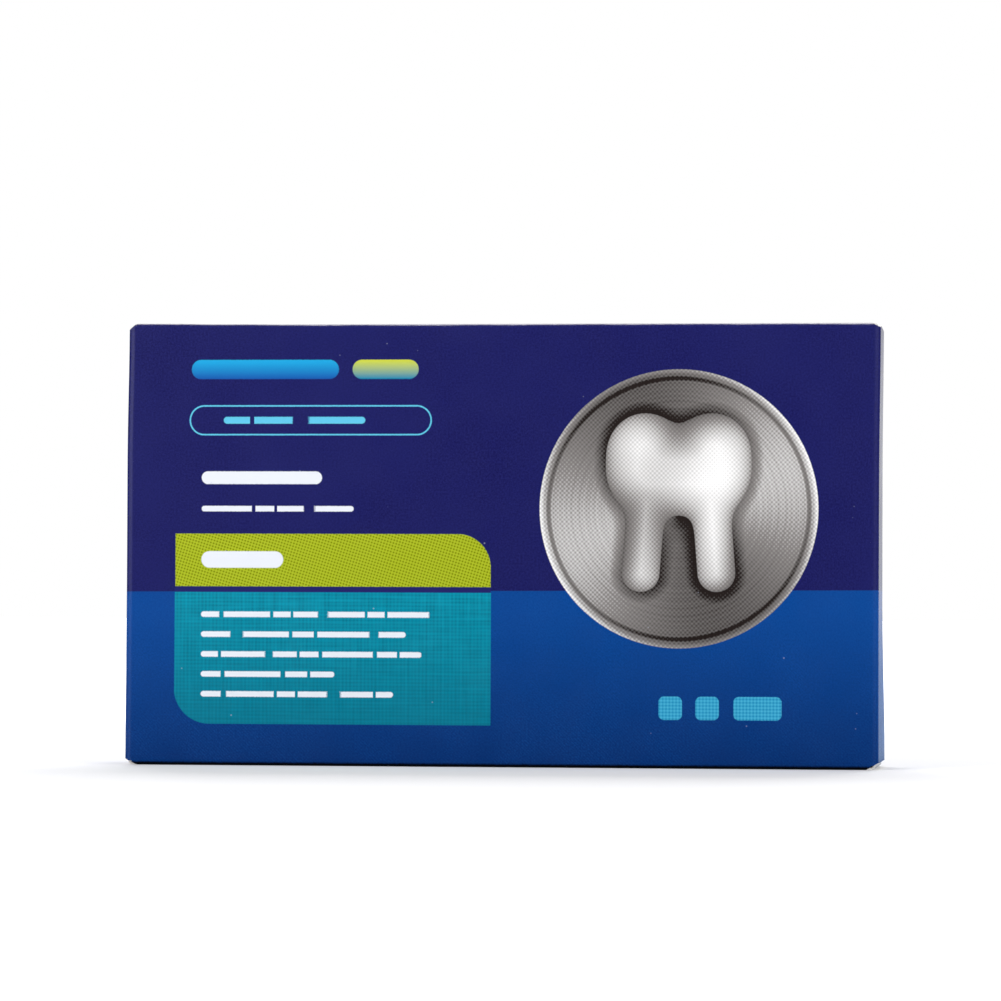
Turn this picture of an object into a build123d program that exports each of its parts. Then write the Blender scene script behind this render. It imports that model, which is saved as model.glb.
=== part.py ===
from build123d import *
import math
import os

# A straight tuck-end folding carton in printed board, in millimetres.
# X runs along the front panel, Y from the front to the back, Z up.
# It stands on its long narrow bottom panel, with both end flaps closed.

# Driving sizes
CARTON_WIDTH = 137.0
CARTON_DEPTH = 20.0
CARTON_HEIGHT = 80.0
BOARD = 0.4
INSIDE_FOLD_RADIUS = 0.4
LAYER_GAP = 0.15
CREASE_GAP = 0.06

# The seam flap glued inside the bottom panel
SEAM_WIDTH = 12.0
SEAM_TAPER = 5.0

# End flaps: their margins to the carton's top and bottom, and the tongue that tucks in
FLAP_TOP_MARGIN = 0.6
FLAP_BOTTOM_MARGIN = 1.2
TONGUE_LENGTH = 14.0
TONGUE_CORNER_RADIUS = 6.0
TONGUE_SHOULDER = 1.0
BACK_RECESS = 0.3

# Corner reliefs cut from the front panel beside each end flap
TOP_RELIEF_RUN = 1.5
TOP_RELIEF_RISE = 0.65
BOTTOM_RELIEF_RUN = 3.0
BOTTOM_RELIEF_RISE = 1.4

# Dust flaps
DUST_LENGTH = 18.0
DUST_FRONT_MARGIN = 0.9
DUST_BACK_MARGIN = 1.6
DUST_SHOULDER = 6.0
DUST_FRONT_TAPER = 1.5
DUST_BACK_TAPER = 4.0
DUST_CORNER_RADIUS = 2.0

# Worked out from the driving sizes
fold_radius = INSIDE_FOLD_RADIUS + BOARD
mid_radius = INSIDE_FOLD_RADIUS + BOARD / 2
end_face = CARTON_WIDTH / 2
front_face = -CARTON_DEPTH / 2
back_face = CARTON_DEPTH / 2
dust_face = end_face - BOARD - LAYER_GAP
tube_end = dust_face - fold_radius
flap_low = FLAP_BOTTOM_MARGIN
flap_high = CARTON_HEIGHT - FLAP_TOP_MARGIN
flap_height = flap_high - flap_low
dust_front = front_face + DUST_FRONT_MARGIN
dust_back = back_face - DUST_BACK_MARGIN
tongue_face = back_face - BOARD - LAYER_GAP
tongue_fold = tongue_face - fold_radius
seam_crease = BOARD + fold_radius
half_split = math.degrees(math.asin(CREASE_GAP / 2 / mid_radius))
half_corner = 45 - half_split


# The wrap: front, top, back and bottom panels, the glued seam and the dust flaps
with BuildPart() as carton_sleeve:
    # Half of the wrap, from the middle to the right end: bottom, front, top and back panels
    with BuildSketch(Plane.YZ):
        with BuildLine():
            FilletPolyline(
                (back_face - fold_radius, BOARD / 2),
                (front_face + BOARD / 2, BOARD / 2),
                (front_face + BOARD / 2, CARTON_HEIGHT - BOARD / 2),
                (back_face - BOARD / 2, CARTON_HEIGHT - BOARD / 2),
                (back_face - BOARD / 2, seam_crease),
                radius=mid_radius,
            )
        trace(line_width=BOARD)
    extrude(amount=tube_end)

    # The seam flap, creased on the back panel's lower edge and glued inside the bottom panel
    with BuildSketch(Plane.YZ):
        with BuildLine():
            CenterArc((back_face - fold_radius, seam_crease), mid_radius, 0, -90)
            Line(
                (back_face - fold_radius, BOARD + BOARD / 2),
                (back_face - SEAM_WIDTH, BOARD + BOARD / 2),
            )
        trace(line_width=BOARD)
    extrude(amount=tube_end)

    # The seam flap's tapered end
    with BuildSketch(Plane.XY.offset(BOARD)):
        with BuildLine():
            Polyline(
                (tube_end, back_face - fold_radius),
                (tube_end, back_face - SEAM_WIDTH),
                (tube_end - SEAM_TAPER, back_face - SEAM_WIDTH),
                close=True,
            )
        make_face()
    extrude(amount=BOARD, mode=Mode.SUBTRACT)

    # The front panel runs on to its crease, and half of that crease's bend is its own
    with BuildSketch(Plane.XY.offset(flap_low)):
        with BuildLine():
            Line(
                (tube_end, front_face + BOARD / 2),
                (end_face - fold_radius, front_face + BOARD / 2),
            )
            CenterArc(
                (end_face - fold_radius, front_face + fold_radius),
                mid_radius,
                -90,
                half_corner,
            )
        trace(line_width=BOARD)
    extrude(amount=flap_height)

    # The back panel runs on to its free edge
    with BuildSketch(Plane.XY.offset(flap_low)):
        with BuildLine():
            Line(
                (tube_end, back_face - BOARD / 2),
                (end_face - BACK_RECESS, back_face - BOARD / 2),
            )
        trace(line_width=BOARD)
    extrude(amount=flap_height)

    # Corner reliefs beside the end flap: each is a long edge, its direction inward, a run and a rise
    for edge, inward, run, rise in (
        (CARTON_HEIGHT, -1, TOP_RELIEF_RUN, TOP_RELIEF_RISE),
        (0, 1, BOTTOM_RELIEF_RUN, BOTTOM_RELIEF_RISE),
    ):
        with BuildSketch(Plane.XZ.offset(-front_face - fold_radius)):
            with BuildLine():
                Polyline(
                    (end_face - run, edge),
                    (end_face, edge + inward * rise),
                    (end_face, edge),
                    close=True,
                )
            make_face()
        extrude(amount=fold_radius, mode=Mode.SUBTRACT)

    # Dust flaps folded in from the top and bottom panels
    for edge, inward in ((CARTON_HEIGHT, -1), (0, 1)):
        crease = edge + inward * fold_radius
        tip = crease + inward * DUST_LENGTH
        shoulder = crease + inward * DUST_SHOULDER
        with BuildSketch(Plane.XZ.offset(-dust_back)):
            with BuildLine():
                CenterArc((tube_end, crease), mid_radius, -90 * inward, 90 * inward)
            trace(line_width=BOARD)
        extrude(amount=dust_back - dust_front)
        with BuildSketch(Plane.YZ.offset(dust_face - BOARD)) as dust_outline:
            with BuildLine():
                Polyline(
                    (dust_front, crease),
                    (dust_back, crease),
                    (dust_back, shoulder),
                    (dust_back - DUST_BACK_TAPER, tip),
                    (dust_front + DUST_FRONT_TAPER, tip),
                    close=True,
                )
            make_face()
            tip_side = dust_outline.vertices().sort_by(Axis.Z)
            tip_corners = tip_side[-2:] if inward > 0 else tip_side[:2]
            fillet(tip_corners, radius=DUST_CORNER_RADIUS)
        extrude(amount=BOARD)

    mirror(about=Plane.YZ)

# The right end flap: the other half of the crease's bend and the closing panel
with BuildPart() as right_end_flap:
    with BuildSketch(Plane.XY.offset(flap_low)):
        with BuildLine():
            CenterArc(
                (end_face - fold_radius, front_face + fold_radius),
                mid_radius,
                0,
                -half_corner,
            )
            Line(
                (end_face - BOARD / 2, front_face + fold_radius),
                (end_face - BOARD / 2, tongue_fold),
            )
        trace(line_width=BOARD)
    extrude(amount=flap_height)

# The right tongue: creased on the closing panel's far edge and tucked inside the back panel
with BuildPart() as right_tuck_tongue:
    with BuildSketch(Plane.XY.offset(flap_low)):
        with BuildLine():
            CenterArc((end_face - fold_radius, tongue_fold), mid_radius, 0, 90)
        trace(line_width=BOARD)
    extrude(amount=flap_height)
    with BuildSketch(Plane.XZ.offset(-tongue_face)) as outline:
        with BuildLine():
            Polyline(
                (end_face - fold_radius, flap_low + TONGUE_SHOULDER),
                (end_face - fold_radius, flap_high - TONGUE_SHOULDER),
                (end_face - TONGUE_LENGTH, flap_high - TONGUE_SHOULDER),
                (end_face - TONGUE_LENGTH, flap_low + TONGUE_SHOULDER),
                close=True,
            )
        make_face()
        fillet(outline.vertices().group_by(Axis.X)[0], radius=TONGUE_CORNER_RADIUS)
    extrude(amount=BOARD)

# The left end is the right end's mirror image
with BuildPart() as left_end_flap:
    mirror(right_end_flap.part, about=Plane.YZ)

with BuildPart() as left_tuck_tongue:
    mirror(right_tuck_tongue.part, about=Plane.YZ)

carton_sleeve.part.label = "carton_sleeve"
right_end_flap.part.label = "right_end_flap"
right_tuck_tongue.part.label = "right_tuck_tongue"
left_end_flap.part.label = "left_end_flap"
left_tuck_tongue.part.label = "left_tuck_tongue"

os.makedirs("parts", exist_ok=True)
export_step(carton_sleeve.part, "parts/carton_sleeve.step")
export_step(right_end_flap.part, "parts/right_end_flap.step")
export_step(right_tuck_tongue.part, "parts/right_tuck_tongue.step")
export_step(left_end_flap.part, "parts/left_end_flap.step")
export_step(left_tuck_tongue.part, "parts/left_tuck_tongue.step")
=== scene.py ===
import math

import bmesh
import bpy
from mathutils import Matrix, Vector


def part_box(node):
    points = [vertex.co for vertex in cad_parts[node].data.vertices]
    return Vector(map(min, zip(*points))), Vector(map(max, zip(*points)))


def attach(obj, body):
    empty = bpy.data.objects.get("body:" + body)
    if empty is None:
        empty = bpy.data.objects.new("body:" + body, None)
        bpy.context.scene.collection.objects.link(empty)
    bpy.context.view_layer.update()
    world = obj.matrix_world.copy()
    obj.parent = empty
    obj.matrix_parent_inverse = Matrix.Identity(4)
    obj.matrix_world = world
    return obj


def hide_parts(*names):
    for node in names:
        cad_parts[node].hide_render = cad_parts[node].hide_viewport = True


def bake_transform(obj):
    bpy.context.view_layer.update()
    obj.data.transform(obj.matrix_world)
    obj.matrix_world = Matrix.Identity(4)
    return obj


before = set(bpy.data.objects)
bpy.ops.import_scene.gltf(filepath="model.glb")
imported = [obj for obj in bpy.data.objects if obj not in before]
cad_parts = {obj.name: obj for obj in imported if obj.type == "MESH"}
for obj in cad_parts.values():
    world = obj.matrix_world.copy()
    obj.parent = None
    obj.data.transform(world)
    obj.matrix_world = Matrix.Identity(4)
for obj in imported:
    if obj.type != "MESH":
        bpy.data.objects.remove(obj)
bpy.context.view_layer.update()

# Sizes of the folded board, in metres
MM = 0.001
BOARD = 0.4 * MM
FOLD_RADIUS = 0.8 * MM
LEFT_FOLD_RADIUS = 1.2 * MM
RIGHT_FOLD_RADIUS = 1.0 * MM
LAYER_GAP = 0.15 * MM
BACK_RECESS = 0.3 * MM
GLUE_LINE = 0.03 * MM
SEAM_WIDTH = 12 * MM
SEAM_TAPER = 5 * MM
TONGUE_LENGTH = 14 * MM
TONGUE_SHOULDER = 1 * MM
TONGUE_CORNER = 6 * MM
DUST_LENGTH = 18 * MM
DUST_FRONT_MARGIN = 0.6 * MM
DUST_BACK_MARGIN = 1.6 * MM
DUST_SHOULDER = 6 * MM
DUST_FRONT_TAPER = 1.5 * MM
DUST_BACK_TAPER = 4 * MM
DUST_CORNER = 2 * MM
# Reliefs beside the end flaps: how far from the end each begins on its fold, and their slopes
TOP_RELIEF_RUN, BOTTOM_RELIEF_RUN = 1.6 * MM, 2.3 * MM
LEFT_TOP_SLOPE, RIGHT_TOP_SLOPE = 0.75, 0.45
LEFT_BOTTOM_SLOPE, RIGHT_BOTTOM_SLOPE = 0.5, 0.55
PLAIN_MARGIN = 0.5 * MM
CREASE_RUN_ON = 0.45 * MM
# Two places closer than this are the same
SAME_PLACE = 0.001 * MM
# A corner this near a cut, in metres, lies on it
ON_CUT = 1e-8
# Faces that meet at more than this show a sharp edge
SHARP_EDGE = math.radians(35)

# Spans that a stretch of board is divided into, steps round a crease and cuts round a corner
FOLD_STEPS = 8
LENGTH_SPANS = 40
HEIGHT_SPANS = 20
DEPTH_SPANS = 10
DUST_SPANS = 6
TONGUE_SPANS = 6
SEAM_SPANS = 4
BACK_END_SPANS = 2
DUST_CORNER_CUTS = 4
TONGUE_CORNER_CUTS = 7

# Each piece carries the place of its board before it settled, in millimetres, and the print follows it
BOARD_PLACE = "board_place"

# Planes of the carton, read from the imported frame
sleeve_low, sleeve_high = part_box("carton_sleeve")
flap_low, flap_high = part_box("right_end_flap")
END = flap_high.x
FRONT, BACK = sleeve_low.y, sleeve_high.y
TOP, FLOOR = sleeve_high.z, sleeve_low.z
DEPTH = BACK - FRONT
DUST_FACE = END - BOARD - LAYER_GAP
TUBE_END = DUST_FACE - FOLD_RADIUS
TONGUE_FACE = BACK - BOARD - LAYER_GAP
DUST_FRONT = FRONT + DUST_FRONT_MARGIN
DUST_BACK = BACK - DUST_BACK_MARGIN


# Shaping the board


def eased(value, start, end):
    """0 before start, 1 past end, and a smooth step between them."""
    t = min(max((value - start) / (end - start), 0), 1)
    return t * t * (3 - 2 * t)


def settled(point):
    """Where a point of the folded board lies once the carton has given a little. All pieces share it."""
    x, y, z = (c / MM for c in point)
    half_depth = DEPTH / 2 / MM
    # The top folds lie a little lower than the panel between them, least at the left
    sag = 0.02 + 0.22 * eased(x, -66, -32)
    sag += 0.04 * math.exp(-(((x + 12) / 16) ** 2))
    sag += 0.03 * eased(x, 40, 66)
    sag += 0.025 * math.sin(x / 3.1) + 0.015 * math.sin(x / 1.7 + 1)
    if y > 0:
        sag *= 0.6
    z_drop = sag * min(abs(y) / (half_depth - 0.8), 1) ** 5 * eased(z, 74, 79.2)
    # The left end leans in toward its top
    left_lean = 0.05 + 0.09 * eased(z, 5, 35) + 0.29 * eased(z, 55, 80)
    # The right end leans in at its crease, most at the bottom, and at its rear edge halfway up
    crease_lean = 0.46 + 0.24 * eased(-z, -80, -50) + 0.07 * eased(-z, -50, -20)
    rear_lean = 0.41 * eased(z, 5, 30) - 0.18 * eased(z, 55, 80)
    forward = (half_depth - 1.3 - y) / (2 * half_depth - 1.3)
    right_lean = rear_lean + (crease_lean - rear_lean) * min(max(forward, 0), 1)
    # The broad panels aren't quite flat
    belly = math.sin(math.pi * min(max(z / 80, 0), 1))
    dish = 0.16 * belly * (0.5 + 0.5 * math.sin(x / 17 + z / 31))
    dish *= eased(68.2 - abs(x), 0, 14)
    y_in = dish * (eased(-y, 7, 10) - eased(y, 7, 10))
    # The end panels bow in a little
    bow = 0.14 * belly * math.cos(math.pi / 2 * min(abs(y) / half_depth, 1)) * eased(abs(x), 60, 68)
    x_in = left_lean * eased(-x, 50, 68) - right_lean * eased(x, 56, 68) - math.copysign(bow, x)
    return Vector((x + x_in, y + y_in, z - z_drop)) * MM


def grow(bm, front):
    """Starts a new stretch of board at a corner or along an edge line, and returns its new front."""
    if isinstance(front[0], bmesh.types.BMVert):
        return bmesh.ops.extrude_vert_indiv(bm, verts=front)["verts"]
    made = bmesh.ops.extrude_edge_only(bm, edges=front)["geom"]
    corners = {g for g in made if isinstance(g, bmesh.types.BMVert)}
    edges = [g for g in made if isinstance(g, bmesh.types.BMEdge)]
    return [e for e in edges if e.verts[0] in corners and e.verts[1] in corners]


def corners_of(front):
    """The vertices of a front, each once and in order."""
    if isinstance(front[0], bmesh.types.BMVert):
        return front
    found = {}
    for edge in front:
        for corner in edge.verts:
            found[corner] = True
    return list(found)


def straight(bm, front, step, spans=1):
    """Carries the board straight on."""
    part = Vector(step) / spans
    for _ in range(spans):
        front = grow(bm, front)
        bmesh.ops.translate(bm, verts=corners_of(front), vec=part)
    return front


def creased(bm, front, centre, axis, turn):
    """Carries the board round a crease."""
    part = Matrix.Rotation(math.radians(turn) / FOLD_STEPS, 3, axis)
    for _ in range(FOLD_STEPS):
        front = grow(bm, front)
        bmesh.ops.rotate(bm, verts=corners_of(front), cent=centre, matrix=part)
    return front


def pen_at(x, y, z):
    """A new sheet of board with the pen on its first corner."""
    bm = bmesh.new()
    return bm, [bm.verts.new((x, y, z))]


def line_drawn(bm):
    """All edges of the outline drawn so far."""
    return list(bm.edges)


def edges_where(bm, holds):
    """The edges whose two corners both pass a test of their place."""
    return [e for e in bm.edges if all(holds(v.co) for v in e.verts)]


def trim(bm, on_part, point, outward):
    """Cuts off what lies beyond a line, on one part of the board."""
    point, outward = Vector(point), Vector(outward)
    geometry = {}
    for face in bm.faces:
        if on_part(face.calc_center_median()):
            for piece in [face, *face.edges, *face.verts]:
                geometry[piece] = True
    bmesh.ops.bisect_plane(bm, geom=list(geometry), dist=ON_CUT, plane_co=point, plane_no=outward)
    beyond = []
    for face in bm.faces:
        centre = face.calc_center_median()
        if on_part(centre) and (centre - point).dot(outward) > 0:
            beyond.append(face)
    bmesh.ops.delete(bm, geom=beyond, context="FACES")


def trim_round(bm, on_part, centre, radius, toward, around, cuts):
    """Rounds a corner of one part of the board with short cuts.

    toward and around are the outward directions of the two edges that meet there.
    """
    for cut in range(1, cuts):
        angle = math.pi / 2 * cut / cuts
        outward = Vector(toward) * math.cos(angle) + Vector(around) * math.sin(angle)
        trim(bm, on_part, Vector(centre) + outward * radius, outward)


def cut_reliefs(bm, side, depth):
    """The slanting cuts beside an end flap, at the top and bottom of the front panel and its crease."""
    top_slope = LEFT_TOP_SLOPE if side < 0 else RIGHT_TOP_SLOPE
    bottom_slope = LEFT_BOTTOM_SLOPE if side < 0 else RIGHT_BOTTOM_SLOPE

    def in_front(c):
        return c.y < FRONT + depth + GLUE_LINE

    trim(bm, in_front, (side * (END - TOP_RELIEF_RUN), FRONT, TOP), (side * top_slope, 0, 1))
    trim(bm, in_front, (side * (END - BOTTOM_RELIEF_RUN), FRONT, FLOOR), (side * bottom_slope, 0, -1))


def up_the_height(bm, front):
    """Draws a line or a sheet of board from the end flap's lower edge to its upper edge."""
    front = straight(bm, front, (0, 0, TOP - FOLD_RADIUS - flap_low.z), HEIGHT_SPANS)
    return straight(bm, front, (0, 0, flap_high.z - TOP + FOLD_RADIUS))


def finish_board(name, bm, coats):
    """Turns a folded sheet into board of its real thickness: printed face, raw inner face and cut edges."""
    middle = Vector((0, 0, (TOP + FLOOR) / 2))
    bm.normal_update()
    facing = sum(f.normal.dot(f.calc_center_median() - middle) * f.calc_area() for f in bm.faces)
    if facing < 0:
        bmesh.ops.reverse_faces(bm, faces=list(bm.faces))
    as_folded = bm.verts.layers.float_vector.new(BOARD_PLACE)
    for corner in bm.verts:
        corner[as_folded] = corner.co / MM
        corner.co = settled(corner.co)
    for face in bm.faces:
        face.smooth = True
    mesh = bpy.data.meshes.new(name)
    bm.to_mesh(mesh)
    bm.free()
    piece = bpy.data.objects.new(name, mesh)
    bpy.context.scene.collection.objects.link(piece)
    for coat in coats:
        mesh.materials.append(coat)
    wall = piece.modifiers.new("board thickness", "SOLIDIFY")
    wall.thickness = BOARD
    wall.offset = -1
    wall.use_even_offset = True
    wall.material_offset = 1
    wall.material_offset_rim = 2
    solid = bpy.data.meshes.new_from_object(piece.evaluated_get(bpy.context.evaluated_depsgraph_get()))
    piece.modifiers.clear()
    piece.data = solid
    solid.name = name
    solid.set_sharp_from_angle(angle=SHARP_EDGE)
    return piece


# Wiring materials


def ink(red, green, blue):
    """A printed colour as seen on a screen, as the linear colour that a socket takes."""
    linear = [c / 255 / 12.92 if c <= 10 else ((c / 255 + 0.055) / 1.055) ** 2.4 for c in (red, green, blue)]
    return (*linear, 1.0)


def feed(tree, socket, value):
    """Joins a socket to another, or sets its plain value."""
    if isinstance(value, bpy.types.NodeSocket):
        tree.links.new(value, socket)
    else:
        socket.default_value = value


def node(tree, kind, feeds=(), **settings):
    """One node, with its settings and what its inputs take."""
    made = tree.nodes.new("ShaderNode" + kind)
    for name, value in settings.items():
        setattr(made, name, value)
    for name, value in dict(feeds).items():
        feed(tree, made.inputs[name], value)
    return made


def calc(tree, operation, *values, clamp=False):
    """A sum on values, held between 0 and 1 where clamp is set."""
    made = node(tree, "Math", enumerate(values), operation=operation)
    made.use_clamp = clamp
    return made.outputs[0]


def vector(tree, operation, *values):
    """A sum on places or directions."""
    made = node(tree, "VectorMath", operation=operation)
    sockets = [made.inputs[0], made.inputs["Scale"]] if operation == "SCALE" else made.inputs
    for socket, value in zip(sockets, values):
        feed(tree, socket, value)
    return made.outputs["Value" if operation in ("LENGTH", "DOT_PRODUCT", "DISTANCE") else "Vector"]


def over(tree, mask, below, above):
    """One colour laid over another where the mask is 1."""
    made = node(tree, "Mix", data_type="RGBA")
    feed(tree, made.inputs[0], mask)
    feed(tree, made.inputs[6], below)
    feed(tree, made.inputs[7], above)
    return made.outputs[2]


def either(tree, mask, value, other):
    """One value, and another in its place where the mask is 1."""
    made = node(tree, "Mix", data_type="FLOAT")
    feed(tree, made.inputs[0], mask)
    feed(tree, made.inputs[2], value)
    feed(tree, made.inputs[3], other)
    return made.outputs[0]


def noise(tree, position, scale, detail=2.0, roughness=0.5):
    """Soft random values between 0 and 1."""
    settings = {"Vector": position, "Scale": scale, "Detail": detail, "Roughness": roughness}
    return node(tree, "TexNoise", settings).outputs[0]


def spread(tree, value, low, high, to_low=0.0, to_high=1.0):
    """Carries a range of values to another, held at its ends."""
    settings = {"Value": value, "From Min": low, "From Max": high, "To Min": to_low, "To Max": to_high}
    return node(tree, "MapRange", settings, clamp=True).outputs[0]


def axes(tree, position):
    """The three parts of a place or direction."""
    return node(tree, "SeparateXYZ", {0: position}).outputs


def object_place(tree):
    """Place on the object in millimetres."""
    coordinates = node(tree, "TexCoord").outputs["Object"]
    return vector(tree, "SCALE", coordinates, 1 / MM)


def board_place(tree):
    """Place on the board in millimetres, as it was before it settled."""
    return node(tree, "Attribute", attribute_name=BOARD_PLACE).outputs["Vector"]


def make_group(name, inputs, outputs):
    """A shared effect: its tree, its named inputs and its end node."""
    tree = bpy.data.node_groups.new(name, "ShaderNodeTree")
    for label, kind, value in inputs:
        socket = tree.interface.new_socket(label, in_out="INPUT", socket_type="NodeSocket" + kind)
        if value is not None:
            socket.default_value = value
    for label, kind in outputs:
        tree.interface.new_socket(label, in_out="OUTPUT", socket_type="NodeSocket" + kind)
    return tree, tree.nodes.new("NodeGroupInput").outputs, tree.nodes.new("NodeGroupOutput").inputs


def use(tree, group, *values):
    """One group in a material, with the values that its inputs take in order."""
    made = tree.nodes.new("ShaderNodeGroup")
    made.node_tree = group
    for socket, value in zip(made.inputs, values):
        feed(tree, socket, value)
    return made.outputs[0]


# Shared effects. Places are in millimetres.

# Width over which the edge of a printed field fades
ROUGH_EDGE = 0.07
# The bars of a row differ in length by a slow sway of its gaps. Bend and gap are in mean bars
WORD_SWAY, WORD_BEND, WORD_GAP = 2.3, 0.3, 0.07
WORD_PASSES = 80
# The height where indigo meets blue, how much it rises along the front, and the blue's slanting hatch
GROUND_SEAM, GROUND_SEAM_RISE = 31.68, 0.0049
HATCH_PITCH = 0.62


def make_rounded_shape():
    """Distance to a rectangle with rounded corners on the front panel, below 0 inside it."""
    tree, given, end = make_group(
        "rounded shape",
        [
            ("Place", "Vector", None),
            ("Centre X", "Float", 0),
            ("Centre Z", "Float", 0),
            ("Half Width", "Float", 1),
            ("Half Height", "Float", 1),
            ("Corner", "Float", 0.5),
        ],
        [("Distance", "Float")],
    )
    x, _, z = axes(tree, given["Place"])
    sides = []
    for place, centre, half in ((x, "Centre X", "Half Width"), (z, "Centre Z", "Half Height")):
        away = calc(tree, "ABSOLUTE", calc(tree, "SUBTRACT", place, given[centre]))
        sides.append(calc(tree, "ADD", calc(tree, "SUBTRACT", away, given[half]), given["Corner"]))
    past = [calc(tree, "MAXIMUM", side, 0.0) for side in sides]
    squares = calc(tree, "ADD", calc(tree, "POWER", past[0], 2.0), calc(tree, "POWER", past[1], 2.0))
    outside = calc(tree, "SQRT", squares)
    inside = calc(tree, "MINIMUM", calc(tree, "MAXIMUM", *sides), 0.0)
    distance = calc(tree, "SUBTRACT", calc(tree, "ADD", outside, inside), given["Corner"])
    feed(tree, end["Distance"], distance)
    return tree


def make_stroke_shape():
    """Distance to a round-ended stroke between two points, below 0 inside it."""
    tree, given, end = make_group(
        "stroke shape",
        [
            ("Place", "Vector", None),
            ("Start", "Vector", None),
            ("End", "Vector", None),
            ("Radius", "Float", 1),
        ],
        [("Distance", "Float")],
    )
    flat = vector(tree, "MULTIPLY", given["Place"], (1, 0, 1))
    reach = vector(tree, "SUBTRACT", flat, given["Start"])
    line = vector(tree, "SUBTRACT", given["End"], given["Start"])
    covered = vector(tree, "DOT_PRODUCT", reach, line)
    along = calc(tree, "DIVIDE", covered, vector(tree, "DOT_PRODUCT", line, line), clamp=True)
    from_line = vector(tree, "DISTANCE", reach, vector(tree, "SCALE", line, along))
    feed(tree, end["Distance"], calc(tree, "SUBTRACT", from_line, given["Radius"]))
    return tree


def make_ink_mask():
    """Turns a distance into a printed field, with its edge as rough as the ragged value says."""
    tree, given, end = make_group(
        "ink mask", [("Distance", "Float", 0), ("Ragged", "Float", 0)], [("Mask", "Float")]
    )
    distance = calc(tree, "ADD", given["Distance"], given["Ragged"])
    feed(tree, end["Mask"], calc(tree, "MULTIPLY_ADD", distance, -0.5 / ROUGH_EDGE, 0.5, clamp=True))
    return tree


def make_dot_screen():
    """The dots of a printing screen, as a value between 0 and 1."""
    tree, given, end = make_group(
        "dot screen",
        [("Place", "Vector", None), ("Pitch", "Float", 0.4), ("Angle", "Float", 0.26)],
        [("Dots", "Float")],
    )
    turning = {"Vector": given["Place"], "Angle": given["Angle"]}
    turned = node(tree, "VectorRotate", turning, rotation_type="Y_AXIS")
    x, _, z = axes(tree, turned.outputs[0])
    waves = []
    for place in (x, z):
        phase = calc(tree, "MULTIPLY", calc(tree, "DIVIDE", place, given["Pitch"]), math.tau)
        waves.append(calc(tree, "SINE", phase))
    feed(tree, end["Dots"], calc(tree, "MULTIPLY_ADD", calc(tree, "ADD", *waves), 0.25, 0.5))
    return tree


def make_specks():
    """Sparse specks of dust and tiny misses in the ink, as a mask."""
    tree, given, end = make_group(
        "specks",
        [("Place", "Vector", None), ("Cell", "Float", 3.0), ("Size", "Float", 0.05), ("Share", "Float", 0.5)],
        [("Mask", "Float")],
    )
    scale = calc(tree, "DIVIDE", 1.0, given["Cell"])
    cells = node(tree, "TexVoronoi", {"Vector": given["Place"], "Scale": scale, "Randomness": 1.0})
    reach = calc(tree, "DIVIDE", given["Size"], given["Cell"])
    red, green, _ = node(tree, "SeparateColor", {0: cells.outputs["Color"]}).outputs
    near = calc(tree, "SUBTRACT", 1.0, calc(tree, "DIVIDE", cells.outputs["Distance"], reach), clamp=True)
    chosen = calc(tree, "LESS_THAN", red, given["Share"])
    feed(tree, end["Mask"], calc(tree, "MULTIPLY", calc(tree, "MULTIPLY", near, chosen), green))
    return tree


def make_fold_wear():
    """Where the print is rubbed along the carton's folds, as a mask from the distance to the nearest fold."""
    half = (END / MM, BACK / MM, (TOP - FLOOR) / 2 / MM)
    tree, given, end = make_group(
        "fold wear",
        [("Place", "Vector", None), ("Reach", "Float", 0.6), ("Amount", "Float", 0.5)],
        [("Mask", "Float")],
    )
    centred = vector(tree, "SUBTRACT", given["Place"], (0, 0, half[2]))
    x, y, z = axes(tree, vector(tree, "SUBTRACT", half, vector(tree, "ABSOLUTE", centred)))
    nearer = calc(tree, "MINIMUM", x, y)
    farther = calc(tree, "MAXIMUM", x, y)
    second = calc(tree, "MAXIMUM", nearer, calc(tree, "MINIMUM", farther, z))
    patches = noise(tree, given["Place"], 0.9, 4.0, 0.65)
    upper = spread(tree, axes(tree, centred)[2], half[2] - 1.5, half[2] - 0.6)
    reach = calc(tree, "MULTIPLY", given["Reach"], calc(tree, "ADD", patches, 0.3))
    reach = calc(tree, "MULTIPLY", reach, calc(tree, "MULTIPLY_ADD", upper, 0.8, 0.2))
    near = calc(tree, "SUBTRACT", 1.0, calc(tree, "DIVIDE", second, reach), clamp=True)
    fibres = spread(tree, noise(tree, given["Place"], 5.0, 3.0, 0.7), 0.45, 0.7)
    rubbed = calc(tree, "MULTIPLY", near, fibres)
    # The crest of a top fold is rubbed through
    ragged = calc(tree, "MULTIPLY_ADD", patches, 0.3, z)
    crest = spread(tree, ragged, 0.36, 0.28)
    crest = calc(tree, "MULTIPLY", calc(tree, "MULTIPLY", crest, upper), spread(tree, second, 1.5, 1.0))
    mask = calc(tree, "MAXIMUM", rubbed, crest)
    feed(tree, end["Mask"], calc(tree, "MULTIPLY", mask, given["Amount"]))
    return tree


def make_film_relief():
    """Height of the gloss film: slow waves of the board, orange peel and fibres, in millimetres."""
    tree, given, end = make_group(
        "film relief", [("Place", "Vector", None), ("Board Waves", "Float", 0.03)], [("Height", "Float")]
    )
    slow = calc(tree, "MULTIPLY", noise(tree, given["Place"], 0.07, 2.0), given["Board Waves"])
    peel = calc(tree, "MULTIPLY", noise(tree, given["Place"], 1.6, 2.0), 0.004)
    fibre = calc(tree, "MULTIPLY", noise(tree, given["Place"], 6.0, 2.0), 0.0012)
    feed(tree, end["Height"], calc(tree, "ADD", slow, calc(tree, "ADD", peel, fibre)))
    return tree


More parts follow.
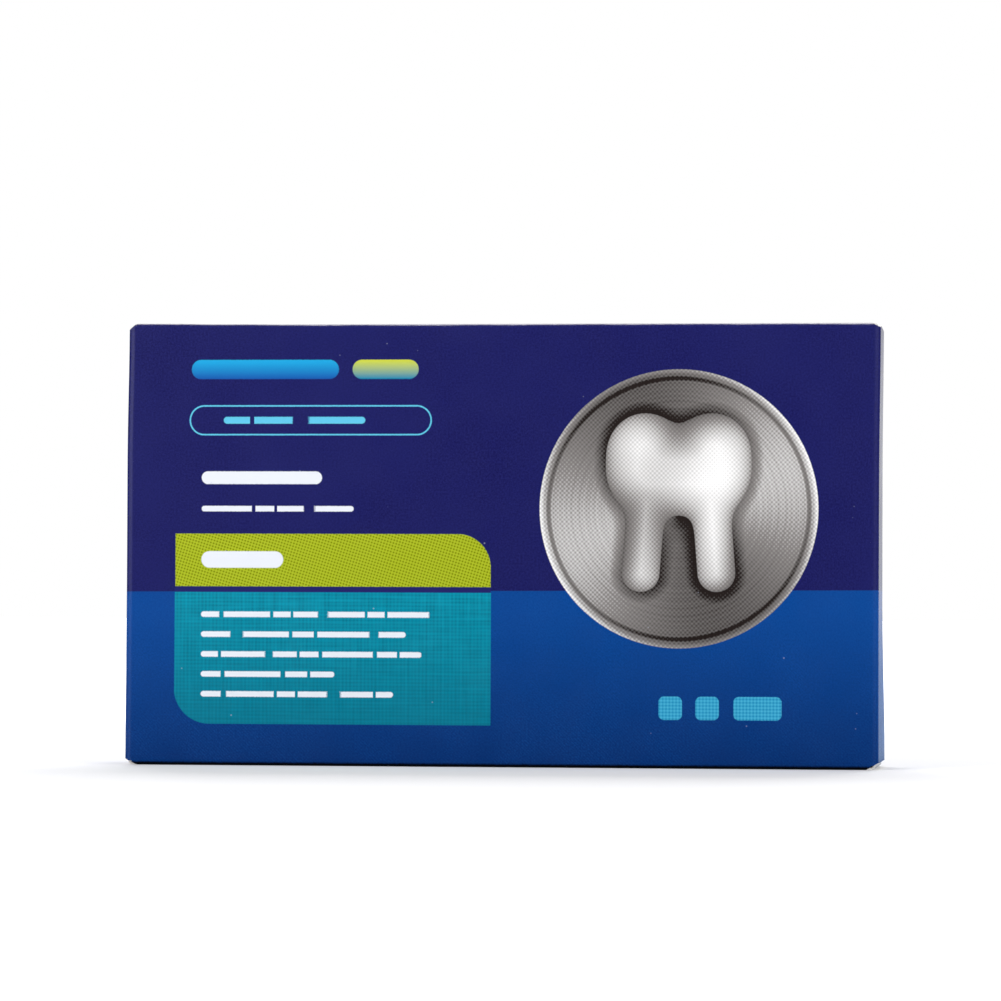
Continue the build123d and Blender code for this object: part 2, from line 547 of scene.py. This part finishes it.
def make_word_row():
    """Distance to a row of plain bars of unlike lengths. Word is the mean length of a bar."""
    tree, given, end = make_group(
        "word row",
        [
            ("Place", "Vector", None),
            ("Left", "Float", 0),
            ("Length", "Float", 20),
            ("Middle Z", "Float", 10),
            ("Half Height", "Float", 0.5),
            ("Word", "Float", 6),
            ("Shift", "Float", 0),
        ],
        [("Distance", "Float")],
    )
    x, _, z = axes(tree, given["Place"])
    half = calc(tree, "MULTIPLY", given["Length"], 0.5)
    centre = calc(tree, "ADD", given["Left"], half)
    tall = given["Half Height"]
    row = use(tree, rounded_shape, given["Place"], centre, given["Middle Z"], half, tall, tall)
    run = calc(tree, "ADD", calc(tree, "DIVIDE", x, given["Word"]), given["Shift"])
    bend = calc(tree, "MULTIPLY", calc(tree, "SINE", calc(tree, "MULTIPLY", run, WORD_SWAY)), WORD_BEND)
    wave = calc(tree, "PINGPONG", calc(tree, "ADD", run, bend), 0.5)
    gap = calc(tree, "MULTIPLY", calc(tree, "SUBTRACT", WORD_GAP, wave), given["Word"])
    feed(tree, end["Distance"], calc(tree, "MAXIMUM", row, gap))
    return tree


def make_ground():
    """The carton's printed ground: indigo above, blue below, each with its grain, with painted shade along
    the fold that it stands on.
    """
    tree, given, end = make_group("printed ground", [("Place", "Vector", None)], [("Color", "Color")])
    x, y, z = axes(tree, given["Place"])
    # Indigo, with a fine grain and slow clouds
    grain = spread(tree, noise(tree, given["Place"], 2.8, 3.0, 0.75), 0.36, 0.64)
    cloud = noise(tree, given["Place"], 0.05, 2.0)
    indigo = over(tree, grain, ink(17, 17, 76), ink(30, 32, 100))
    indigo = over(tree, spread(tree, cloud, 0.35, 0.75, 0.0, 0.6), indigo, ink(30, 33, 99))
    # Blue, deeper toward the foot, with patches of slanting hatch
    deep = over(tree, grain, ink(0, 42, 102), ink(4, 50, 114))
    light = over(tree, grain, ink(0, 63, 137), ink(6, 71, 149))
    blue = over(tree, spread(tree, z, 1.0, 28.0), deep, light)
    diagonal = calc(tree, "SINE", calc(tree, "MULTIPLY", calc(tree, "ADD", x, z), math.tau / HATCH_PITCH))
    patchy = spread(tree, noise(tree, given["Place"], 0.09, 2.0), 0.4, 0.65, 0.08, 0.36)
    hatch = calc(tree, "MULTIPLY", calc(tree, "MULTIPLY_ADD", diagonal, 0.35, 0.5), grain)
    blue = over(tree, calc(tree, "MULTIPLY", hatch, patchy), blue, ink(12, 84, 166))
    seam = calc(tree, "SUBTRACT", calc(tree, "MULTIPLY_ADD", x, -GROUND_SEAM_RISE, z), GROUND_SEAM)
    ground = over(tree, spread(tree, seam, -0.05, 0.05), blue, indigo)
    # Painted shade: the fold that the carton stands on is painted near-black where it meets the floor
    painted_foot_shade = spread(tree, calc(tree, "MULTIPLY_ADD", grain, 0.12, z), 0.45, 0.85, 1.0, 0.0)
    near_front = spread(tree, y, FRONT / MM + 1.2, FRONT / MM + 0.8)
    # The near-black laid over the ground here is painted shade, not ink or dirt
    feed(tree, end["Color"], over(tree, calc(tree, "MULTIPLY", painted_foot_shade, near_front), ground, ink(0, 0, 2)))
    return tree


rounded_shape = make_rounded_shape()
stroke_shape = make_stroke_shape()
ink_mask = make_ink_mask()
dot_screen = make_dot_screen()
specks = make_specks()
fold_wear = make_fold_wear()
film_relief = make_film_relief()
word_row = make_word_row()
ground_with_foot_shade = make_ground()


# Materials


# Places of the print, in millimetres
PRINT_LEFT = -54.5
HEADING_HEIGHT = 71.6
DISC_X, DISC_Z, DISC_RADIUS = 32.0, 46.5, 25.0
# Finishes: specular levels, and heights of relief in millimetres
FILM_SPECULAR = 0.16
RAW_SPECULAR = 0.2
FILM_WAVES = 0.03
FIBRE_HEIGHT = 0.03


def emptied(holder):
    """The node tree of a new material or world, with nothing in it."""
    holder.use_nodes = True
    holder.node_tree.nodes.clear()
    return holder.node_tree


def new_material(name):
    """A material with one plain shader, its tree and that shader."""
    material = bpy.data.materials.new(name)
    tree = emptied(material)
    shader = node(tree, "BsdfPrincipled")
    feed(tree, node(tree, "OutputMaterial").inputs["Surface"], shader.outputs[0])
    return material, tree, shader


def laminated(name, art=None):
    """Board printed on its ground, with any art over it, under a gloss film."""
    material, tree, shader = new_material(name)
    place = board_place(tree)
    colour = use(tree, ground_with_foot_shade, place)
    if art:
        colour = art(tree, place, colour)
    # Dust and tiny misses in the ink, then the print rubbed along the folds
    dust = use(tree, specks, place, 4.2, 0.2, 0.55)
    colour = over(tree, calc(tree, "MULTIPLY", dust, 0.85), colour, ink(196, 202, 222))
    wear = use(tree, fold_wear, place, 0.5, 0.9)
    colour = over(tree, wear, colour, ink(158, 154, 166))
    feed(tree, shader.inputs["Base Color"], colour)
    # The film is smeared a little, and dull where it is rubbed
    smears = spread(tree, noise(tree, place, 0.12, 3.0, 0.6), 0.3, 0.7, 0.2, 0.27)
    feed(tree, shader.inputs["Roughness"], calc(tree, "MULTIPLY_ADD", wear, 0.4, smears))
    shader.inputs["Specular IOR Level"].default_value = FILM_SPECULAR
    relief = use(tree, film_relief, place, FILM_WAVES)
    bump = node(tree, "Bump", {"Strength": 0.6, "Distance": MM, "Height": relief})
    feed(tree, shader.inputs["Normal"], bump.outputs[0])
    return material


def raw_board(name, pale, dark, fibre_scale, roughness):
    """Uncoated board: fibres and flecks in grey-white."""
    material, tree, shader = new_material(name)
    place = board_place(tree)
    stretched = vector(tree, "MULTIPLY", place, (0.35, 1.0, 1.0))
    fibres = noise(tree, stretched, fibre_scale, 5.0, 0.7)
    colour = over(tree, spread(tree, fibres, 0.3, 0.72), dark, pale)
    flecks = use(tree, specks, place, 2.2, 0.22, 0.5)
    colour = over(tree, calc(tree, "MULTIPLY", flecks, 0.45), colour, ink(128, 116, 100))
    feed(tree, shader.inputs["Base Color"], colour)
    shader.inputs["Roughness"].default_value = roughness
    shader.inputs["Specular IOR Level"].default_value = RAW_SPECULAR
    height = calc(tree, "MULTIPLY", fibres, FIBRE_HEIGHT)
    bump = node(tree, "Bump", {"Strength": 0.5, "Distance": MM, "Height": height})
    feed(tree, shader.inputs["Normal"], bump.outputs[0])
    return material


def nearest(tree, distances):
    """Distance to the nearest of several shapes."""
    found = distances[0]
    for distance in distances[1:]:
        found = calc(tree, "MINIMUM", found, distance)
    return found


def printed(tree, distance, ragged, colour, field):
    """A field printed over a colour, inside a shape."""
    return over(tree, use(tree, ink_mask, distance, ragged), colour, field)


def lime_and_teal(tree, place, ragged, colour):
    """The two fields at the left, with a line of indigo between them."""
    # Each field is where a plain rectangle and a larger one with the rounded corner overlap
    lime_block = use(tree, rounded_shape, place, -30.55, 37.07, 28.75, 4.81, 0.1)
    lime_corner = use(tree, rounded_shape, place, -51.8, 21.93, 50, 19.95, 6.0)
    lime_field = calc(tree, "MAXIMUM", lime_block, lime_corner)
    teal_block = use(tree, rounded_shape, place, -30.57, 19.4, 28.82, 11.9, 0.1)
    teal_corner = use(tree, rounded_shape, place, -9.45, 37.5, 50, 30.0, 6.5)
    teal_field = calc(tree, "MAXIMUM", teal_block, teal_corner)
    line = use(tree, rounded_shape, place, -30.6, 31.85, 28.8, 0.5, 0.1)
    dots = spread(tree, use(tree, dot_screen, place, 0.54, math.radians(-17)), 0.1, 0.6)
    lime = over(tree, dots, ink(118, 132, 0), ink(174, 188, 36))
    # Teal, with a weave of threads both ways and a deeper shade toward the foot
    weave = use(tree, dot_screen, place, 0.66, 0.0)
    across = noise(tree, vector(tree, "MULTIPLY", place, (0.12, 1, 1.6)), 1.0)
    upward = noise(tree, vector(tree, "MULTIPLY", place, (1.6, 1, 0.12)), 1.0)
    threads = spread(tree, calc(tree, "ADD", across, upward), 0.75, 1.25)
    teal_shade = calc(tree, "MULTIPLY_ADD", weave, 0.45, calc(tree, "MULTIPLY_ADD", threads, 0.35, 0.1))
    teal = over(tree, teal_shade, ink(0, 108, 130), ink(4, 158, 184))
    height = axes(tree, place)[2]
    teal = over(tree, spread(tree, height, 31.0, 8.0, 0.0, 0.6), teal, ink(0, 104, 128))
    colour = printed(tree, lime_field, ragged, colour, lime)
    colour = printed(tree, line, ragged, colour, ink(32, 34, 99))
    return printed(tree, teal_field, ragged, colour, teal)


def word_break(count):
    """Where the gap before a bar falls, in mean bars: each pass comes closer to it."""
    place = count
    for _ in range(WORD_PASSES):
        place = count - WORD_BEND * math.sin(WORD_SWAY * place)
    return place


def words(tree, place, left, middle, half, word, first, last):
    """Distance to a row of bars, from one bar of the run to another."""
    start, end = word_break(first), word_break(last)
    gap = WORD_GAP * word
    length = (end - start) * word - 2 * gap
    return use(tree, word_row, place, left, length, middle, half, word, start - (left - gap) / word)


def bar(tree, place, left, length, middle, half):
    """Distance to one round-ended bar."""
    return use(tree, rounded_shape, place, left + length / 2, middle, length / 2, half, half)


def plain_bars(tree, place, ragged, colour):
    """Plain bars and rows of bars, in cyan, blue, green and white."""
    # An outlined bar with a row of short bars in it
    outline = use(tree, rounded_shape, place, -34.7, 62.4, 22.0, 2.6, 2.6)
    ring = calc(tree, "SUBTRACT", calc(tree, "ABSOLUTE", outline), 0.13)
    cyan_row = words(tree, place, -50.5, 62.4, 0.62, 9.3, 2, 5)
    colour = printed(tree, nearest(tree, [ring, cyan_row]), ragged, colour, ink(96, 196, 228))
    # The heading, in two bars that shade from their foot to their top
    heading_rise = spread(tree, axes(tree, place)[2], HEADING_HEIGHT - 1.7, HEADING_HEIGHT + 1.7)
    heading = bar(tree, place, -56.5, 27.0, HEADING_HEIGHT, 1.75)
    blues = over(tree, heading_rise, ink(20, 84, 168), ink(30, 168, 222))
    colour = printed(tree, heading, ragged, colour, blues)
    heading_end = bar(tree, place, -27.0, 12.0, HEADING_HEIGHT, 1.75)
    greens = over(tree, heading_rise, ink(20, 130, 170), ink(206, 212, 60))
    colour = printed(tree, heading_end, ragged, colour, greens)
    # White bars and rows of bars, from one left margin
    white_shapes = [
        bar(tree, place, PRINT_LEFT, 22.0, 52.0, 1.15),
        bar(tree, place, PRINT_LEFT, 15.0, 37.2, 1.5),
    ]
    for middle, word, first, last in (
        (46.4, 6.4, 1, 5),
        (27.3, 5.9, 0, 7),
        (23.7, 7.4, 3, 8),
        (20.1, 6.3, 5, 12),
        (16.5, 7.0, 8, 12),
        (12.9, 6.2, 11, 17),
    ):
        white_shapes.append(words(tree, place, PRINT_LEFT, middle, 0.5, word, first, last))
    colour = printed(tree, nearest(tree, white_shapes), ragged, colour, ink(232, 236, 244))
    # A row of plain shapes low at the right
    signs = [
        use(tree, rounded_shape, place, centre, 10.8, half, 2.1, 1.0)
        for centre, half in ((30.6, 2.1), (37.2, 2.1), (46.2, 4.3))
    ]
    pale = over(tree, use(tree, dot_screen, place, 0.6, 0.0), ink(24, 136, 186), ink(74, 182, 214))
    return printed(tree, nearest(tree, signs), ragged, colour, pale)


def silver_motif(tree, place, ragged, colour):
    """A silver disc with a plain tooth raised on it."""
    x, _, z = axes(tree, place)
    from_x = calc(tree, "SUBTRACT", x, DISC_X)
    from_z = calc(tree, "SUBTRACT", z, DISC_Z)
    disc = use(tree, stroke_shape, place, (DISC_X, 0, DISC_Z), (DISC_X, 0, DISC_Z + 0.001), DISC_RADIUS)
    # Brushed round, with a sheen that comes and goes twice, and a line near its rim
    around = calc(tree, "ARCTAN2", from_z, from_x)
    swing = calc(tree, "SINE", calc(tree, "MULTIPLY_ADD", around, 2.0, 0.9))
    sheen = calc(tree, "MULTIPLY_ADD", swing, 0.24, 0.42)
    rings = noise(tree, node(tree, "CombineXYZ", {0: disc}).outputs[0], 2.2, 3.0)
    brushed = calc(tree, "MULTIPLY", rings, 0.24)
    plate = calc(tree, "ADD", sheen, calc(tree, "SUBTRACT", brushed, 0.12))
    rim = calc(tree, "ABSOLUTE", calc(tree, "ADD", disc, 1.6))
    plate = calc(tree, "SUBTRACT", plate, spread(tree, rim, 0.55, 0.15, 0.0, 0.3))
    plate = calc(tree, "ADD", plate, spread(tree, disc, -0.9, -0.2, 0.0, 0.25))
    # The tooth's crown, its two cusps and two roots, melted into one shape with a shadow round it
    tooth = use(tree, rounded_shape, place, DISC_X, 53.0, 12.5, 7.6, 7.4)
    for start, end, radius in (
        ((26.0, 0, 57.0), (26.4, 0, 54.5), 6.6),
        ((38.0, 0, 57.0), (37.6, 0, 54.5), 6.6),
        ((26.2, 0, 47.5), (25.2, 0, 35.0), 3.4),
        ((37.8, 0, 47.5), (38.8, 0, 35.0), 3.4),
    ):
        lobe = use(tree, stroke_shape, place, start, end, radius)
        tooth = calc(tree, "SMOOTH_MIN", tooth, lobe, 4.5)
    plate = calc(tree, "SUBTRACT", plate, spread(tree, tooth, 2.2, 0.0, 0.0, 0.34))
    depth = calc(tree, "POWER", spread(tree, tooth, 0.0, -5.5), 0.55)
    slant = calc(tree, "ADD", calc(tree, "MULTIPLY", from_x, 0.05), calc(tree, "MULTIPLY", from_z, -0.03))
    bands = calc(tree, "MULTIPLY_ADD", calc(tree, "SINE", calc(tree, "MULTIPLY", slant, 4.2)), 0.14, 0.3)
    raised = calc(tree, "ADD", calc(tree, "MULTIPLY", depth, 0.6), bands)
    inside = calc(tree, "MULTIPLY_ADD", tooth, -8.0, 0.5, clamp=True)
    both = either(tree, inside, plate, raised)
    screen = use(tree, dot_screen, place, 0.56, math.radians(45))
    shade = calc(tree, "ADD", both, calc(tree, "MULTIPLY_ADD", screen, 0.22, -0.11), clamp=True)
    silver = over(tree, spread(tree, shade, 0.0, 0.5), ink(34, 27, 25), ink(138, 134, 132))
    silver = over(tree, spread(tree, shade, 0.5, 0.95), silver, ink(250, 249, 248))
    return printed(tree, disc, ragged, colour, silver)


def plain_dust_flaps(tree, place, colour):
    """White board past the creases of the dust flaps, where nothing is printed."""
    x, y, _ = axes(tree, place)
    past = spread(tree, calc(tree, "ABSOLUTE", x), TUBE_END / MM + 0.05, TUBE_END / MM + 0.15)
    clear_of_back = spread(tree, y, DUST_BACK / MM + 0.4, DUST_BACK / MM + 0.2)
    return over(tree, calc(tree, "MULTIPLY", past, clear_of_back), colour, ink(224, 222, 218))


def front_art(tree, place, colour):
    """All that is printed on the front panel over its ground."""
    ragged = calc(tree, "MULTIPLY_ADD", noise(tree, place, 4.0, 1.0), 0.12, -0.06)
    colour = lime_and_teal(tree, place, ragged, colour)
    colour = plain_bars(tree, place, ragged, colour)
    return silver_motif(tree, place, ragged, colour)


printed_front = laminated("printed front", front_art)
printed_board = laminated("printed board")
inner_face = raw_board("raw inner face", ink(230, 228, 221), ink(200, 196, 187), 2.2, 0.85)
cut_edge = raw_board("cut board edge", ink(250, 249, 247), ink(228, 225, 220), 7.0, 0.8)
wrap_coats = (laminated("printed board, plain dust flaps", plain_dust_flaps), inner_face, cut_edge)
plain_coats = (printed_board, inner_face, cut_edge)


# Pieces


def make_front_panel():
    """The front panel with its top and bottom folds."""
    bm, pen = pen_at(-TUBE_END, FRONT + FOLD_RADIUS + PLAIN_MARGIN, FLOOR)
    pen = straight(bm, pen, (0, -PLAIN_MARGIN, 0))
    pen = creased(bm, pen, (0, FRONT + FOLD_RADIUS, FLOOR + FOLD_RADIUS), "X", -90)
    pen = straight(bm, pen, (0, 0, flap_low.z - FLOOR - FOLD_RADIUS))
    pen = straight(bm, pen, (0, 0, TOP - FOLD_RADIUS - flap_low.z), HEIGHT_SPANS)
    pen = creased(bm, pen, (0, FRONT + FOLD_RADIUS, TOP - FOLD_RADIUS), "X", -90)
    straight(bm, pen, (0, PLAIN_MARGIN, 0))
    straight(bm, line_drawn(bm), (2 * TUBE_END, 0, 0), LENGTH_SPANS)
    for side in (-1, 1):
        cut_reliefs(bm, side, FOLD_RADIUS)
    return finish_board("front_panel", bm, (printed_front, inner_face, cut_edge))


def add_dust_flap(bm, level, inward, side):
    """A dust flap creased down or up from one end of the top or bottom panel."""
    crease = level + inward * FOLD_RADIUS
    tip = crease + inward * DUST_LENGTH
    shoulder = crease + inward * DUST_SHOULDER

    def at_end(c):
        in_width = DUST_FRONT - SAME_PLACE < c.y < DUST_BACK + SAME_PLACE
        return in_width and abs(c.x - side * TUBE_END) < SAME_PLACE and abs(c.z - level) < SAME_PLACE

    def on_flap(c):
        past_crease = side * c.x > TUBE_END + FOLD_RADIUS / 2 and c.y < DUST_BACK
        return past_crease and 0 < (c.z - crease) * inward < DUST_LENGTH

    ends = edges_where(bm, at_end)
    front = creased(bm, ends, (side * TUBE_END, 0, crease), "Y", 90 * side * -inward)
    straight(bm, front, (0, 0, inward * DUST_LENGTH), DUST_SPANS)
    trim(bm, on_flap, (0, DUST_BACK, shoulder), (0, abs(tip - shoulder), inward * DUST_BACK_TAPER))
    trim(bm, on_flap, (0, DUST_FRONT, crease), (0, -DUST_LENGTH, inward * DUST_FRONT_TAPER))
    for corner_y, toward in ((DUST_BACK - DUST_BACK_TAPER, 1), (DUST_FRONT + DUST_FRONT_TAPER, -1)):
        centre = (0, corner_y - toward * DUST_CORNER, tip - inward * DUST_CORNER)
        edges_out = (0, toward, 0), (0, 0, inward)
        trim_round(bm, on_flap, centre, DUST_CORNER, *edges_out, DUST_CORNER_CUTS)


def finish_back_end(bm, side, seam_level):
    """Runs the back panel on to its free end, and tapers the seam flap's end."""

    def at_end(c):
        in_height = seam_level + FOLD_RADIUS - SAME_PLACE < c.z < TOP - FOLD_RADIUS + SAME_PLACE
        return in_height and abs(c.x - side * TUBE_END) < SAME_PLACE and abs(c.y - BACK) < SAME_PLACE

    def on_seam_flap(c):
        return abs(c.z - seam_level) < SAME_PLACE

    run_on = side * (END - BACK_RECESS - TUBE_END)
    straight(bm, edges_where(bm, at_end), (run_on, 0, 0), BACK_END_SPANS)
    taper = (side * (SEAM_WIDTH - FOLD_RADIUS), -SEAM_TAPER, 0)
    trim(bm, on_seam_flap, (side * TUBE_END, BACK - FOLD_RADIUS, 0), taper)


def make_wrap():
    """The top and back panels with the seam flap, and the bottom panel glued over it."""
    start, fold_back = FRONT + FOLD_RADIUS + PLAIN_MARGIN, BACK - FOLD_RADIUS
    bm, pen = pen_at(-TUBE_END, start, TOP)
    pen = straight(bm, pen, (0, DUST_BACK - start, 0), DEPTH_SPANS)
    pen = straight(bm, pen, (0, fold_back - DUST_BACK, 0))
    pen = creased(bm, pen, (0, fold_back, TOP - FOLD_RADIUS), "X", -90)
    seam_level = FLOOR + BOARD + GLUE_LINE
    pen = straight(bm, pen, (0, 0, seam_level + FOLD_RADIUS - TOP + FOLD_RADIUS), HEIGHT_SPANS)
    pen = creased(bm, pen, (0, fold_back, seam_level + FOLD_RADIUS), "X", -90)
    straight(bm, pen, (0, -SEAM_WIDTH + FOLD_RADIUS, 0), SEAM_SPANS)
    bottom = [bm.verts.new((-TUBE_END, fold_back, FLOOR))]
    bottom = straight(bm, bottom, (0, DUST_BACK - fold_back, 0))
    straight(bm, bottom, (0, start - DUST_BACK, 0), DEPTH_SPANS)
    straight(bm, line_drawn(bm), (2 * TUBE_END, 0, 0), LENGTH_SPANS)
    for side in (-1, 1):
        finish_back_end(bm, side, seam_level)
    for level, inward in ((TOP, -1), (FLOOR, 1)):
        for side in (-1, 1):
            add_dust_flap(bm, level, inward, side)
    return finish_board("top_back_and_bottom", bm, wrap_coats)


def end_fold_radius(side):
    """The two end creases aren't folded equally tight."""
    return LEFT_FOLD_RADIUS if side < 0 else RIGHT_FOLD_RADIUS


def make_end_crease(side):
    """The creased corner between the front panel and an end flap."""
    radius = end_fold_radius(side)
    bm, pen = pen_at(side * TUBE_END, FRONT, flap_low.z - CREASE_RUN_ON)
    pen = straight(bm, pen, (side * (END - radius - TUBE_END), 0, 0))
    pen = creased(bm, pen, (side * (END - radius), FRONT + radius, 0), "Z", 90 * side)
    straight(bm, pen, (0, PLAIN_MARGIN, 0))
    sheet = straight(bm, line_drawn(bm), (0, 0, CREASE_RUN_ON))
    sheet = up_the_height(bm, sheet)
    straight(bm, sheet, (0, 0, CREASE_RUN_ON))

    def past_the_front(c):
        return side * c.x > END - radius / 2

    def on_panel(c):
        return abs(side * c.x - END) < SAME_PLACE

    trim(bm, past_the_front, (0, 0, flap_high.z), (0, 0, 1))
    trim(bm, on_panel, (0, 0, flap_low.z), (0, 0, -1))
    cut_reliefs(bm, side, radius)
    return bm


def make_tuck_flap(side):
    """An end flap: the closing panel, and the tongue tucked inside the back panel."""
    start = FRONT + end_fold_radius(side) + PLAIN_MARGIN
    bm, pen = pen_at(side * END, start, flap_low.z)
    fold = TONGUE_FACE - FOLD_RADIUS
    pen = straight(bm, pen, (0, fold - start, 0), DEPTH_SPANS)
    pen = creased(bm, pen, (side * (END - FOLD_RADIUS), fold, 0), "Z", 90 * side)
    straight(bm, pen, (side * (FOLD_RADIUS - TONGUE_LENGTH), 0, 0), TONGUE_SPANS)
    up_the_height(bm, line_drawn(bm))

    def on_tongue(c):
        return abs(c.y - TONGUE_FACE) < SAME_PLACE and side * c.x < END - FOLD_RADIUS

    low, high = flap_low.z + TONGUE_SHOULDER, flap_high.z - TONGUE_SHOULDER
    tip = END - TONGUE_LENGTH
    trim(bm, on_tongue, (0, 0, low), (0, 0, -1))
    trim(bm, on_tongue, (0, 0, high), (0, 0, 1))
    for level, way in ((low, -1), (high, 1)):
        centre = (side * (tip + TONGUE_CORNER), 0, level - way * TONGUE_CORNER)
        edges_out = (-side, 0, 0), (0, 0, way)
        trim_round(bm, on_tongue, centre, TONGUE_CORNER, *edges_out, TONGUE_CORNER_CUTS)
    return bm


front_panel = make_front_panel()
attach(front_panel, "carton")
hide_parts("carton_sleeve")

wrap = make_wrap()
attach(wrap, "carton")
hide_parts("carton_sleeve")

for side, hand in ((-1, "left"), (1, "right")):
    flap = finish_board(f"{hand}_tuck_flap", make_tuck_flap(side), plain_coats)
    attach(flap, f"{hand}_flap")
    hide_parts(f"{hand}_end_flap", f"{hand}_tuck_tongue")
    crease = finish_board(f"{hand}_end_crease", make_end_crease(side), plain_coats)
    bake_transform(crease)


# Floor, light and camera

FLOOR_HALF = 6.0
FLOOR_GAP = 0.02 * MM
WHITE = (1, 1, 1, 1)
COOL_WHITE = (0.5, 0.68, 1, 1)
# Strengths of the room: its even light, and in the gloss its walls, ceiling and window at the left
ROOM_LIGHT = 0.45
ROOM_BASE = 0.02
CEILING = 0.4
REAR_WALL = 0.85
LEFT_WINDOW = 4.0

floor_mesh = bpy.data.meshes.new("floor")
bm = bmesh.new()
bmesh.ops.create_grid(bm, x_segments=1, y_segments=1, size=FLOOR_HALF)
bmesh.ops.translate(bm, verts=list(bm.verts), vec=(0, 0, FLOOR - FLOOR_GAP))
bm.to_mesh(floor_mesh)
bm.free()
floor = bpy.data.objects.new("floor", floor_mesh)
bpy.context.scene.collection.objects.link(floor)


def make_floor_material():
    """White sweep: it takes the carton's shadow, and is plain white where there is none."""
    material = bpy.data.materials.new("white sweep")
    tree = emptied(material)
    paths = node(tree, "LightPath").outputs
    paper = node(tree, "BsdfDiffuse", {"Color": ink(230, 230, 232)}).outputs[0]
    place = object_place(tree)
    # To the camera it brightens to full white away from the carton
    brightness = spread(tree, vector(tree, "LENGTH", place), 210.0, 500.0, 0.05, 1.0)
    glow = node(tree, "Emission", {"Color": WHITE, "Strength": brightness}).outputs[0]
    seen = node(tree, "AddShader", {0: paper, 1: glow}).outputs[0]
    direct = node(tree, "MixShader", {0: paths["Is Camera Ray"], 1: paper, 2: seen}).outputs[0]
    # In the gloss it is a cool pale sheet behind the carton and dark before it
    room = spread(tree, axes(tree, place)[1], -20.0, 60.0, 0.03, 0.85)
    mirrored = node(tree, "Emission", {"Color": COOL_WHITE, "Strength": room}).outputs[0]
    final = node(tree, "MixShader", {0: paths["Is Glossy Ray"], 1: direct, 2: mirrored})
    feed(tree, node(tree, "OutputMaterial").inputs["Surface"], final.outputs[0])
    return material


floor_mesh.materials.append(make_floor_material())


def make_world():
    """White behind the carton for the camera, and a soft room for its light and gloss."""
    world = bpy.data.worlds.new("studio")
    tree = emptied(world)
    paths = node(tree, "LightPath").outputs
    x, y, z = axes(tree, node(tree, "TexCoord").outputs["Generated"])
    # Behind: white low at the right, and all along higher up
    to_the_back = spread(tree, y, 0.55, 0.95)
    to_the_right = spread(tree, x, -0.12, 0.04)
    low_white = spread(tree, z, 0.05, 0.09, 0.95, 0.5)
    low_behind = calc(tree, "MULTIPLY", calc(tree, "MULTIPLY", to_the_back, to_the_right), low_white)
    above = calc(tree, "MULTIPLY", to_the_back, spread(tree, z, 0.15, 0.28))
    behind = calc(tree, "MAXIMUM", low_behind, calc(tree, "MULTIPLY", above, REAR_WALL))
    overhead = calc(tree, "MULTIPLY", spread(tree, z, 0.45, 0.95), CEILING)
    # Before it: a window at the left, two pale bands that the front panel faces, and a wall at the right
    to_the_left = calc(tree, "MULTIPLY", spread(tree, x, -0.25, -0.45), spread(tree, y, 0.0, -0.3))
    left_band = spread(tree, x, -0.14, -0.22, 0.0, 0.8)
    right_band = spread(tree, x, -0.04, 0.03, 0.0, 0.5)
    bands = calc(tree, "ADD", left_band, right_band)
    right_wall = spread(tree, x, 0.06, 0.2, 0.0, 1.3)
    to_front_right = calc(tree, "MULTIPLY", right_wall, spread(tree, y, -0.1, -0.5))
    facing = calc(tree, "MULTIPLY_ADD", bands, spread(tree, y, -0.6, -0.8), to_front_right)
    window = calc(tree, "MULTIPLY", to_the_left, LEFT_WINDOW)
    room = calc(tree, "ADD", window, calc(tree, "ADD", facing, ROOM_BASE))
    room = calc(tree, "ADD", room, calc(tree, "ADD", behind, overhead))
    strength = either(tree, paths["Is Glossy Ray"], ROOM_LIGHT, room)
    strength = either(tree, paths["Is Camera Ray"], strength, 1.0)
    shade = node(tree, "Background", {"Color": WHITE, "Strength": strength})
    feed(tree, node(tree, "OutputWorld").inputs["Surface"], shade.outputs[0])
    return world


bpy.context.scene.world = make_world()

LAMP_TARGET = Vector((0, 0, 0.04))


def add_softbox(name, place, side, power):
    """A soft square lamp at a place, turned to the carton's middle."""
    lamp = bpy.data.lights.new(name, "AREA")
    lamp.shape = "RECTANGLE"
    lamp.size, lamp.size_y = side, side
    lamp.energy = power
    holder = bpy.data.objects.new(name, lamp)
    holder.location = place
    holder.rotation_mode = "QUATERNION"
    holder.rotation_quaternion = (LAMP_TARGET - Vector(place)).to_track_quat("-Z", "Y")
    bpy.context.scene.collection.objects.link(holder)


add_softbox("left key", (-0.75, -0.75, 0.65), 0.6, 7.0)
add_softbox("right fill", (1.05, -0.45, 0.55), 0.6, 7.0)
add_softbox("back light", (0.0, 0.85, 1.0), 0.95, 15.0)

# The photograph's viewpoint: metres from the middle, and turns away from facing the front panel
CAMERA_DISTANCE = 0.8
CAMERA_HEIGHT = 0.03
CAMERA_SWING = math.radians(5.889)
CAMERA_PAN = math.radians(5.968)
CAMERA_TILT = math.radians(1.3007)
CAMERA_ROLL = math.radians(0.2151)
CAMERA_LENS = 158.05
SENSOR_WIDTH = 36

lens = bpy.data.cameras.new("camera")
lens.sensor_width = SENSOR_WIDTH
lens.lens = CAMERA_LENS
lens.clip_start, lens.clip_end = 0.05, 20
camera = bpy.data.objects.new("camera", lens)
bpy.context.scene.collection.objects.link(camera)
stand_point = Vector(
    (CAMERA_DISTANCE * math.sin(CAMERA_SWING), -CAMERA_DISTANCE * math.cos(CAMERA_SWING), CAMERA_HEIGHT)
)
aim = (
    Matrix.Rotation(CAMERA_PAN, 4, "Z")
    @ Matrix.Rotation(math.radians(90) + CAMERA_TILT, 4, "X")
    @ Matrix.Rotation(CAMERA_ROLL, 4, "Z")
)
camera.matrix_world = Matrix.Translation(stand_point) @ aim
bpy.context.scene.camera = camera
bpy.context.scene.view_settings.view_transform = "Standard"
